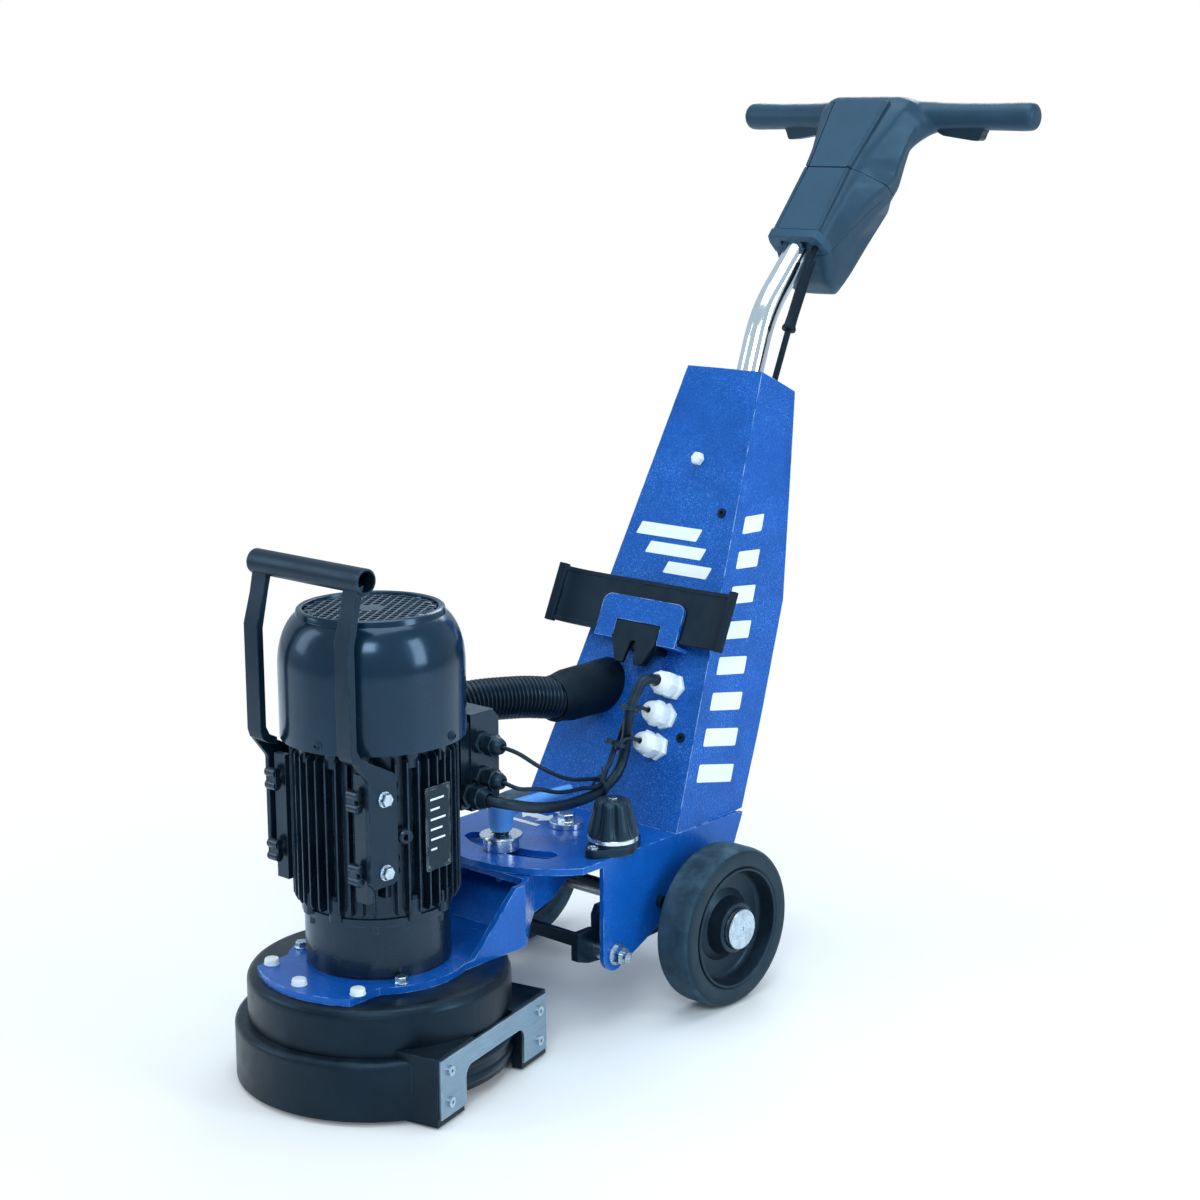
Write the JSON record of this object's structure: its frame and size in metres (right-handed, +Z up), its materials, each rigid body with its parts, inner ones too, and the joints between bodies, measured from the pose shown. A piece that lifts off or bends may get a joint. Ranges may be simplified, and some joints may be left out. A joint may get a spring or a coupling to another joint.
{
  "type": "concrete grinder",
  "caption": "Walk-behind floor grinder: disc head with dust skirt on a swinging arm, electric motor, leaning frame on wheels, bent tube with a grip bar.",
  "frame": {"origin": "on the floor, under the middle of the machine's overall length and width", "axes": "+Z up, +Y from the grinding head towards the operator, +X to the operator's right"},
  "size_m": [0.4624, 1.1212, 1.053],
  "materials": {
    "blue_powder": "hammered powder coat",
    "black_paint": "semi-gloss",
    "zinc_steel": "satin",
    "chrome": "polished",
    "black_rubber": "matte",
    "tyre_rubber": "dusty",
    "black_plastic": "fine grain",
    "white_plastic": "smooth",
    "grey_plastic": "matte",
    "blue_plastic": "satin",
    "red_paint": "worn",
    "diamond_bond": "rough"
  },
  "bodies": {
    "chassis": {"deck_frame": "blue_powder", "tower_shell": "blue_powder", "rear_cover": "blue_powder", "frame_screws": "zinc_steel", "dust_pipe": "zinc_steel", "hose_cuff": "black_rubber", "saddle_strip": "black_paint", "saddle_bracket": "blue_powder", "fork_hook": "black_paint", "cable_glands": "white_plastic", "control_box": "grey_plastic", "power_inlet": "blue_plastic", "spindle_flange": "black_paint", "yoke_bolts": "zinc_steel", "tie_rod": "black_paint", "swing_bolt": "zinc_steel", "handle_tube": "chrome", "handle_housing": "black_plastic", "handle_cover": "black_plastic", "control_cable": "black_rubber", "dust_hose": "black_plastic", "motor_cable": "black_rubber", "signal_cables": "black_rubber"},
    "head": {"swing_arm": "blue_powder", "drum_cover": "black_plastic", "bell_flange": "black_paint", "motor_housing": "black_paint", "stator": "zinc_steel", "motor_bearings": "zinc_steel", "fan_cowl": "black_paint", "terminal_box": "black_paint", "terminal_lid": "black_paint", "motor_glands": "black_plastic", "lift_handle": "black_paint", "head_screws": "zinc_steel", "bolt_caps": "white_plastic", "clamp_stud": "zinc_steel", "clamp_collar": "chrome"},
    "lever": {"clamp_lever": "blue_plastic"},
    "rotor": {"motor_shaft": "zinc_steel", "rotor_core": "zinc_steel", "cooling_fan": "black_plastic", "tool_hub": "zinc_steel", "grinding_disc": "red_paint", "diamond_segments": "diamond_bond", "hub_fasteners": "zinc_steel"},
    "skirt": {"dust_skirt": "black_rubber", "edge_plate": "zinc_steel", "edge_screws": "zinc_steel"},
    "yoke": {"axle_yoke": "black_paint", "wheel_axle": "zinc_steel", "axle_caps": "zinc_steel"},
    "left_wheel": {"left_tyre": "tyre_rubber", "left_rim": "black_plastic"},
    "right_wheel": {"right_tyre": "tyre_rubber", "right_rim": "black_plastic"},
    "knob": {"adjusting_knob": "black_plastic"},
    "nut": {"spindle_nut": "zinc_steel"},
    "left_lever": {"left_trigger": "black_plastic"},
    "right_lever": {"right_trigger": "black_plastic"}
  },
  "joints": [
    {"name": "head_swing", "type": "hinge", "parent": "chassis", "child": "head", "pos_m": [0, -0.09367, 0.2], "axis": [0, 0, 1], "range_deg": [-29, 29], "deforming": ["dust_hose", "motor_cable", "signal_cables"]},
    {"name": "clamp_turn", "type": "hinge", "parent": "head", "child": "lever", "pos_m": [0, -0.20567, 0.23], "axis": [0, 0, 1], "range_deg": [-8, 60]},
    {"name": "rotor_spin", "type": "hinge", "parent": "head", "child": "rotor", "pos_m": [0, -0.40067, 0.1], "axis": [0, 0, 1], "continuous": true},
    {"name": "skirt_turn", "type": "hinge", "parent": "head", "child": "skirt", "pos_m": [0, -0.40067, 0.04], "axis": [0, 0, 1], "continuous": true},
    {"name": "yoke_tilt", "type": "hinge", "parent": "chassis", "child": "yoke", "pos_m": [0, -0.14267, 0.087], "axis": [1, 0, 0], "range_deg": [-3.5, 3.5]},
    {"name": "left_wheel_spin", "type": "hinge", "parent": "yoke", "child": "left_wheel", "pos_m": [-0.165, -0.00267, 0.096], "axis": [1, 0, 0], "continuous": true},
    {"name": "right_wheel_spin", "type": "hinge", "parent": "yoke", "child": "right_wheel", "pos_m": [0.165, -0.00267, 0.096], "axis": [1, 0, 0], "continuous": true},
    {"name": "knob_turn", "type": "hinge", "parent": "chassis", "child": "knob", "pos_m": [0.102, -0.12567, 0.2], "axis": [0, 0, 1], "range_deg": [-190, 190]},
    {"name": "nut_travel", "type": "slide", "parent": "chassis", "child": "nut", "axis": [0, 0, 1], "range_m": [-0.0011, 0.0011]},
    {"name": "left_trigger_pull", "type": "hinge", "parent": "chassis", "child": "left_lever", "pos_m": [-0.09563, 0.5317, 1.019], "axis": [0.0872, 0.9962, 0], "range_deg": [0, 6], "stiffness_Nm_per_rad": 0.2, "springref_deg": -2.86},
    {"name": "right_trigger_pull", "type": "hinge", "parent": "chassis", "child": "right_lever", "pos_m": [0.09563, 0.5317, 1.019], "axis": [0.0872, -0.9962, 0], "range_deg": [0, 6], "stiffness_Nm_per_rad": 0.2, "springref_deg": -2.86}
  ],
  "couplings": [
    {"joint": "knob_turn", "follows": "yoke_tilt", "ratio": -53.4},
    {"joint": "nut_travel", "follows": "yoke_tilt", "m_per_rad": 0.017}
  ]
}
